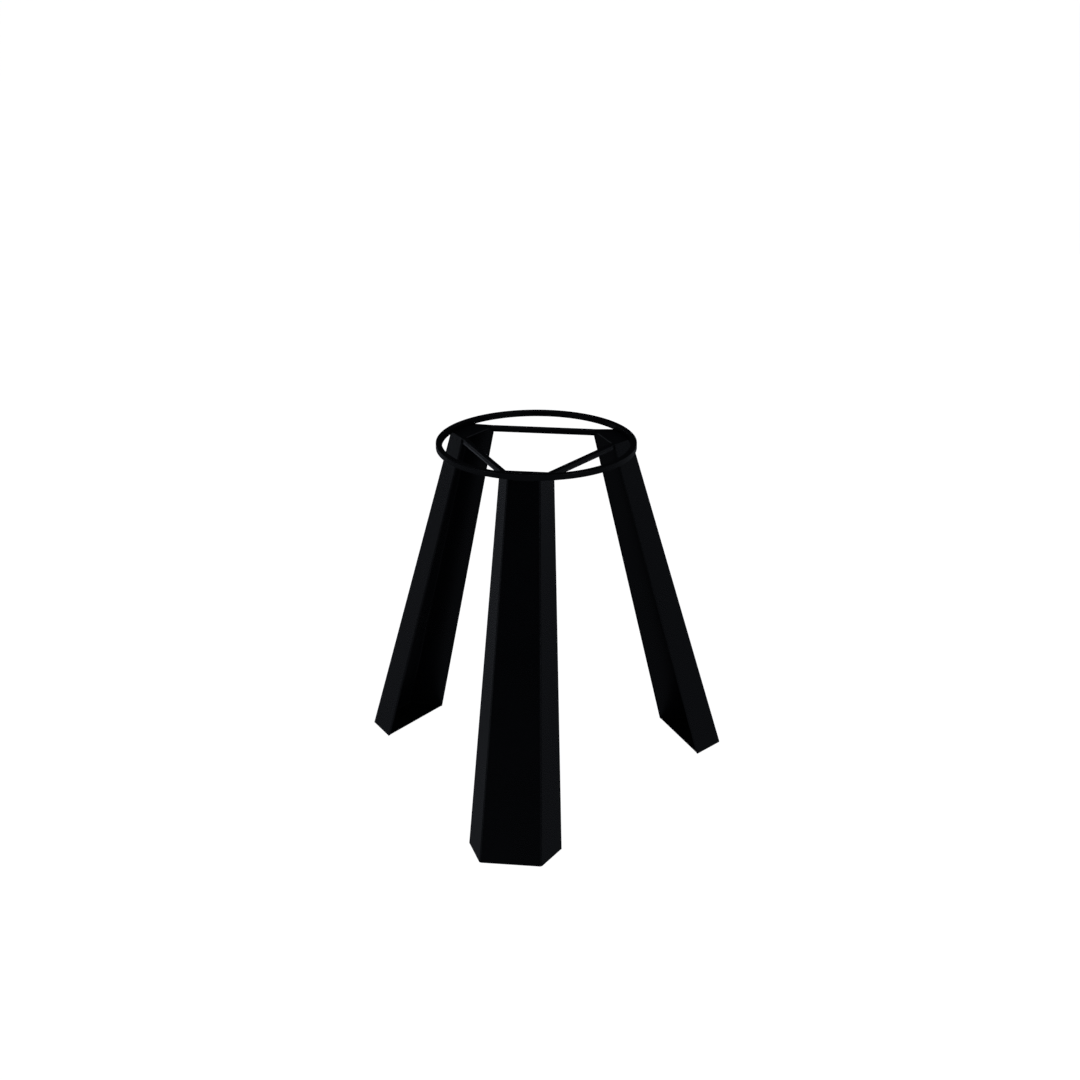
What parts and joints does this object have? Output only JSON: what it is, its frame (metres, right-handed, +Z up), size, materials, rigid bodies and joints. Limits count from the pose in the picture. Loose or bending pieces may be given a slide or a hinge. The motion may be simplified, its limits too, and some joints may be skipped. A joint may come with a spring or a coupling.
{
  "type": "tripod field stand",
  "caption": "Welded steel field stand: a flat open ring on three folded channel legs that widen towards the floor, tied at the top by short crossbars.",
  "frame": {"origin": "on the axis of the ring's bore, level with the ring's top face", "axes": "+Z up along the bore, the front leg on -Y, the other two legs 30 and 150 degrees round from +X"},
  "size_m": [0.632, 0.5473, 0.6],
  "materials": {
    "coated_ring": "satin black powder coat",
    "coated_sheet": "satin black powder coat",
    "coated_bar": "satin black powder coat",
    "coated_weld": "satin black powder coat over weld"
  },
  "bodies": {
    "root": {"seat_ring": "coated_ring", "leg_front": "coated_sheet", "leg_right": "coated_sheet", "leg_left": "coated_sheet", "top_plate_front": "coated_sheet", "top_plate_right": "coated_sheet", "top_plate_left": "coated_sheet", "foot_plate_front": "coated_sheet", "foot_plate_right": "coated_sheet", "foot_plate_left": "coated_sheet", "crossbar_right": "coated_bar", "crossbar_back": "coated_bar", "crossbar_left": "coated_bar", "ring_weld_front": "coated_weld", "ring_weld_right": "coated_weld", "ring_weld_left": "coated_weld", "top_plate_weld_front": "coated_weld", "top_plate_weld_right": "coated_weld", "top_plate_weld_left": "coated_weld", "foot_plate_weld_front": "coated_weld", "foot_plate_weld_right": "coated_weld", "foot_plate_weld_left": "coated_weld", "bar_weld_right_near": "coated_weld", "bar_weld_right_far": "coated_weld", "bar_weld_back_near": "coated_weld", "bar_weld_back_far": "coated_weld", "bar_weld_left_near": "coated_weld", "bar_weld_left_far": "coated_weld"}
  },
  "joints": []
}
